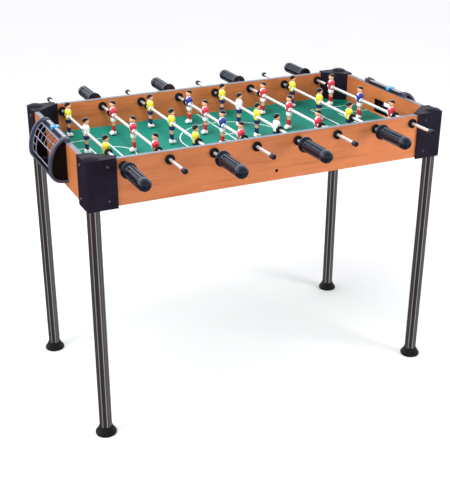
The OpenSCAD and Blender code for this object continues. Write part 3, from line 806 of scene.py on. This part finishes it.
def box_point(angle, inset, end_x, mid_z, side):
    """Point of a return box's outline in the XZ plane: 90 is the top, -90 the bottom."""
    a = math.radians(angle)
    power = LOW_POWER if angle < 0 else TOP_POWER
    rise = (BOX_DOWN if angle < 0 else BOX_UP) - inset
    x = end_x + (BOX_OUT - inset) * max(math.cos(a), 0.0) ** (2 / power)
    z = mid_z + math.copysign(rise * abs(math.sin(a)) ** (2 / power), angle)
    return Vector((side * x, 0, z))


def box_outline(inset, lowest, highest, place):
    """Outline of a return box between two angles, closed along the end panel."""
    end_x, side = place[0], place[-1]
    curve = [box_point(angle, inset, *place) for angle in range(lowest, highest + 1, 5)]
    x = side * (end_x + PANEL_CLEARANCE)
    return [Vector((x, 0, curve[0].z)), *curve, Vector((x, 0, curve[-1].z))]


def add_plate(bm, outline, y0, y1):
    """Solid between two Y values whose outline lies in the XZ plane."""
    near, far = [[bm.verts.new((p.x, y, p.z)) for p in outline] for y in (y0, y1)]
    for i in range(len(outline)):
        j = (i + 1) % len(outline)
        bm.faces.new((near[i], near[j], far[j], far[i]))
    bm.faces.new(near)
    bm.faces.new(far)


def bar(bm, path, width, thick):
    """Bar of rounded section along a path of points, each with its outward direction."""
    rings = []
    for i, (point, out) in enumerate(path):
        after, before = path[min(i + 1, len(path) - 1)][0], path[max(i - 1, 0)][0]
        sideways = (after - before).normalized().cross(out).normalized()
        outline = oval(width / 2, thick / 2, 3.0, 12)
        rings.append([point + sideways * a + out * b for a, b in outline])
    skin_rings(bm, rings)


def add_net(end, side):
    """Cage over a return box, open in the lower middle where the balls are taken out."""
    lo, hi = box_mm(f"goal_net_{end}")
    place = box_place(end, side)
    inset = NET_INSET + NET_THICK / 2
    cell = (hi.y - lo.y) / NET_COLUMNS
    top, middle, bottom = NET_ROWS[0], NET_ROWS[2], NET_ROWS[-1]
    bm = bmesh.new()

    def at(angle, y):
        """Point on the cage and its outward direction."""
        point = box_point(angle, inset, *place)
        along = box_point(angle + 1, inset, *place) - box_point(angle - 1, inset, *place)
        out = Vector((along.z, 0, -along.x)).normalized() * side
        return Vector((point.x, y, point.z)), Vector((abs(out.x) * side, 0, abs(out.z)))

    def row(angle, y0, y1, width):
        bar(bm, [at(angle, y0), at(angle, y1)], width, NET_THICK)

    def column(y, low, width):
        angles = [low + (top - low) * i / COLUMN_STEPS for i in range(COLUMN_STEPS + 1)]
        bar(bm, [at(angle, y) for angle in angles], width, NET_THICK)

    for i, angle in enumerate(NET_ROWS):
        width = WIDE_ROW if angle in (top, middle, bottom) else THIN_ROW
        if i == BROKEN_ROW:
            row(angle, lo.y + NET_MARGIN, lo.y + cell, width)
            row(angle, hi.y - cell, hi.y - NET_MARGIN, width)
        else:
            row(angle, lo.y + NET_MARGIN, hi.y - NET_MARGIN, width)
    for i in range(NET_COLUMNS + 1):
        beside_opening = i in (1, NET_COLUMNS - 1)
        reaches_down = i <= 1 or i >= NET_COLUMNS - 1
        y = min(max(lo.y + cell * i, lo.y + COLUMN_MARGIN), hi.y - COLUMN_MARGIN)
        column(y, bottom if reaches_down else middle, WIDE_COLUMN if beside_opening else THIN_COLUMN)
    add_piece(f"goal_net_{end}_look", bm, NET, TABLE, (f"goal_net_{end}",), 50)


def add_cheeks(end, side):
    """Dark plates in the recessed outer faces of a return box."""
    lo, hi = box_mm(f"return_box_{end}")
    outline = box_outline(CHEEK_INSET, -80, 80, box_place(end, side))
    bm = bmesh.new()
    add_plate(bm, outline, hi.y - CHEEK_FROM, hi.y - CHEEK_TO)
    add_plate(bm, outline, lo.y + CHEEK_FROM, lo.y + CHEEK_TO)
    add_piece(f"box_cheeks_{end}", bm, CHEEK_BLACK_AND_SHADE, TABLE)


def add_interior_shade(end, side):
    """Painted shade: a dark skin on the inner faces of a return box, both cheeks and the bottom lip, where
    the inside lies in shade.
    """
    net_lo, net_hi = box_mm(f"goal_net_{end}")
    place = box_place(end, side)
    outline = box_outline(SHADE_SKIN_INSET, -85, 70, place)
    bm = bmesh.new()
    for y in (net_lo.y, net_hi.y):
        add_plate(bm, outline, y - SHADE_SKIN_HALF, y + SHADE_SKIN_HALF)
    angles = range(-88, -9, 6)
    outside = [box_point(angle, LIP_OUTSIDE, *place) for angle in angles]
    inside = [box_point(angle, LIP_INSIDE, *place) for angle in reversed(angles)]
    add_plate(bm, outside + inside, net_lo.y + LIP_MARGIN, net_hi.y - LIP_MARGIN)
    add_piece(f"box_interior_shade_{end}", bm, CHEEK_BLACK_AND_SHADE, TABLE)


def add_post(end, side):
    """Solid post beside the opening that the balls are taken from."""
    net_lo, net_hi = box_mm(f"goal_net_{end}")
    place = box_place(end, side)
    width = (net_hi.y - net_lo.y) / NET_COLUMNS * POST_SHARE_OF_CELL
    edge = net_hi.y if side > 0 else net_lo.y
    outer = [box_point(angle, POST_OUTSIDE, *place) for angle in range(-12, 25, 4)]
    inner = [box_point(angle, POST_INSIDE, *place) for angle in range(24, -13, -4)]
    bm = bmesh.new()
    add_plate(bm, outer + inner, edge - side * POST_MARGIN, edge - side * width)
    add_piece(f"box_post_{end}", bm, BOX_PLASTIC, TABLE)


# ---- The pieces ----

PANEL_ROUNDING = 0.5
softened("front_panel", WOOD_X, TABLE, PANEL_ROUNDING)
softened("back_panel", WOOD_X, TABLE, PANEL_ROUNDING)
softened("left_end_panel", WOOD_Y, TABLE, PANEL_ROUNDING)
softened("right_end_panel", WOOD_Y, TABLE, PANEL_ROUNDING)
softened("edge_bands", EDGE_BAND, TABLE, 0.4)
softened("field_battens", BATTEN, TABLE, 0.6)
softened("foot_pads", RUBBER, TABLE, 0.8)
softened("rod_bushings", BLACK, TABLE, 0.9)
softened("bushing_nuts", BLACK, TABLE, 0.8)
for corner in CORNERS:
    softened(f"corner_bracket_{corner}", BRACKET, TABLE, 0.9)
    repaint(f"leg_{corner}", LEG_CHROME)
for end, side in ENDS:
    softened(f"return_box_{end}", BOX_PLASTIC, TABLE, 0.9)
    add_net(end, side)
    add_cheeks(end, side)
    add_interior_shade(end, side)
    add_post(end, side)
    add_scale(end)
    softened(f"score_rail_{end}", RAIL, TABLE, 0.4)
    softened(f"score_slider_{end}", SLIDER, f"slider_{end}", 0.5)
for rod in RODS:
    softened(f"rod_{rod}_bumpers", RUBBER, f"bumpers_{rod}", 1.2)
    repaint(f"rod_{rod}_shaft", ROD_CHROME)
    add_players(rod)
    add_grip(rod)
repaint("playfield", GREEN)
add_field_lines()
add_screws()


# ---- Floor, light and camera ----

FLOOR_HALF = 200.0


def add_floor():
    """Wide pale floor that reflections don't see."""
    bm = bmesh.new()
    bmesh.ops.create_grid(bm, x_segments=8, y_segments=8, size=FLOOR_HALF)
    mesh = bpy.data.meshes.new("floor")
    bm.to_mesh(mesh)
    bm.free()
    material, nodes, links, shader = new_material("pale_floor")
    vector = coordinates(nodes, links)
    tint = ramp(nodes, links, noise(nodes, links, vector, 1.2, 3.0),
                ((0.2, (0.905, 0.905, 0.905)), (0.8, (0.92, 0.92, 0.92))))
    links.new(tint, shader.inputs["Base Color"])
    shader.inputs["Roughness"].default_value = 0.95
    shader.inputs["Specular IOR Level"].default_value = 0.0
    mesh.materials.append(material)
    floor = bpy.data.objects.new("floor", mesh)
    floor.visible_glossy = False
    bpy.context.scene.collection.objects.link(floor)


def place_light(data, place, target):
    """Aims a light, which lights surfaces but leaves the reflections to the studio around them."""
    light = bpy.data.objects.new(data.name, data)
    light.location = place
    light.rotation_mode = "QUATERNION"
    light.rotation_quaternion = (Vector(target) - Vector(place)).to_track_quat("-Z", "Y")
    light.visible_glossy = False
    bpy.context.scene.collection.objects.link(light)


def add_area_light(name, place, target, width, height, power):
    data = bpy.data.lights.new(name, "AREA")
    data.shape = "RECTANGLE"
    data.size, data.size_y = width, height
    data.energy = power
    place_light(data, place, target)


def add_soft_sun(name, place, strength, spread):
    data = bpy.data.lights.new(name, "SUN")
    data.energy = strength
    data.angle = math.radians(spread)
    place_light(data, place, (0, 0, 0))


# Shares of a full turn from the left through the front, the right and the back, and the colour there.
STRIPS = (
    (0.0, (0.034, 0.03, 0.029)), (0.05, (0.3, 0.3, 0.31)), (0.085, (0.03, 0.024, 0.023)),
    (0.2, (0.042, 0.031, 0.028)), (0.255, (0.048, 0.038, 0.034)), (0.285, (0.44, 0.44, 0.46)),
    (0.315, (0.055, 0.051, 0.051)), (0.42, (0.11, 0.11, 0.12)), (0.5, (0.07, 0.07, 0.07)),
    (0.55, (0.05, 0.05, 0.05)), (0.585, (0.36, 0.36, 0.37)), (0.62, (0.03, 0.03, 0.03)),
    (0.7, (0.04, 0.04, 0.04)), (0.735, (0.4, 0.4, 0.42)), (0.77, (0.03, 0.03, 0.03)),
    (0.82, (0.034, 0.031, 0.031)), (0.9, (0.062, 0.058, 0.055)), (1.0, (0.034, 0.03, 0.029)),
)
# Heights from 0 at the horizon to 1 overhead, and the colour there.
SKY = ((0.0, WHITE), (0.55, (0.98, 0.98, 1.0)), (0.8, (0.6, 0.6, 0.62)), (1.0, (0.5, 0.5, 0.52)))
HAZE = ((0.0, (0.95, 0.95, 0.95)), (0.05, (0.9, 0.9, 0.9)), (0.1, (0.0, 0.0, 0.0)))
# How bright the sky is, from the front to the back.
FRONT_TO_BACK = ((0.0, (0.22, 0.22, 0.23)), (1.0, WHITE))
STUDIO_STRENGTH = 1.45


def add_world():
    """Pale studio, dimmer towards the front; the light strips below its horizon are for reflections."""
    world = bpy.data.worlds.new("studio")
    world.use_nodes = True
    nodes, links = world.node_tree.nodes, world.node_tree.links
    source = nodes.new("ShaderNodeTexCoord")
    axes = nodes.new("ShaderNodeSeparateXYZ")
    links.new(source.outputs["Generated"], axes.inputs["Vector"])
    turn = nodes.new("ShaderNodeMath")
    turn.operation = "ARCTAN2"
    links.new(axes.outputs["Y"], turn.inputs[0])
    links.new(axes.outputs["X"], turn.inputs[1])
    compass = share_of(nodes, links, turn.outputs["Value"], -math.pi, math.pi)
    strips = ramp(nodes, links, compass, STRIPS)
    height = share_of(nodes, links, axes.outputs["Z"], 0.0, 1.0)
    sky = ramp(nodes, links, height, SKY)
    backward = share_of(nodes, links, axes.outputs["Y"], -0.35, 0.25)
    sky = multiply(nodes, links, sky, ramp(nodes, links, backward, FRONT_TO_BACK))
    haze = ramp(nodes, links, height, HAZE)
    sky = mixed(nodes, links, "LIGHTEN", sky, haze).outputs["Result"]
    horizon = share_of(nodes, links, axes.outputs["Z"], -0.035, -0.005)
    studio = mixed(nodes, links, "MIX", strips, sky)
    links.new(horizon, studio.inputs["Factor"])
    links.new(studio.outputs["Result"], nodes["Background"].inputs["Color"])
    nodes["Background"].inputs["Strength"].default_value = STUDIO_STRENGTH
    bpy.context.scene.world = world


CAMERA_PLACE = (-1054.7, -2187.2, 1434.7)
CAMERA_AZIMUTH, CAMERA_ELEVATION, CAMERA_ROLL = -25.275, 24.67, 0.181
CAMERA_LENS = 67.58


def add_camera():
    """The photograph's view of the table."""
    data = bpy.data.cameras.new("camera")
    data.sensor_width = 36.0
    data.lens = CAMERA_LENS
    data.clip_end = 50.0
    camera = bpy.data.objects.new("camera", data)
    azimuth, elevation = math.radians(CAMERA_AZIMUTH), math.radians(CAMERA_ELEVATION)
    roll = math.radians(CAMERA_ROLL)
    back = Vector((math.sin(azimuth) * math.cos(elevation), -math.cos(azimuth) * math.cos(elevation),
                   math.sin(elevation)))
    right = Vector((math.cos(azimuth), math.sin(azimuth), 0))
    up = back.cross(right)
    x_axis = math.cos(roll) * right + math.sin(roll) * up
    y_axis = math.cos(roll) * up - math.sin(roll) * right
    turn = Matrix((x_axis, y_axis, back)).transposed()
    camera.matrix_world = Matrix.Translation(Vector(CAMERA_PLACE) * MM) @ turn.to_4x4()
    bpy.context.scene.collection.objects.link(camera)
    bpy.context.scene.camera = camera


add_floor()
add_world()
add_soft_sun("key", (-1.6, -1.2, 3.0), 1.25, 50)
add_area_light("right_front", (1.7, -1.8, 1.0), (0.6, 0, 0.65), 1.0, 1.4, 42)
add_area_light("over", (-0.45, -0.2, 1.75), (0.05, 0.05, 0.66), 0.5, 0.5, 15)
add_area_light("left", (-2.6, -0.6, 1.5), (-0.4, 0, 0.65), 1.2, 1.6, 28)
add_camera()
bpy.context.scene.view_settings.view_transform = "Standard"
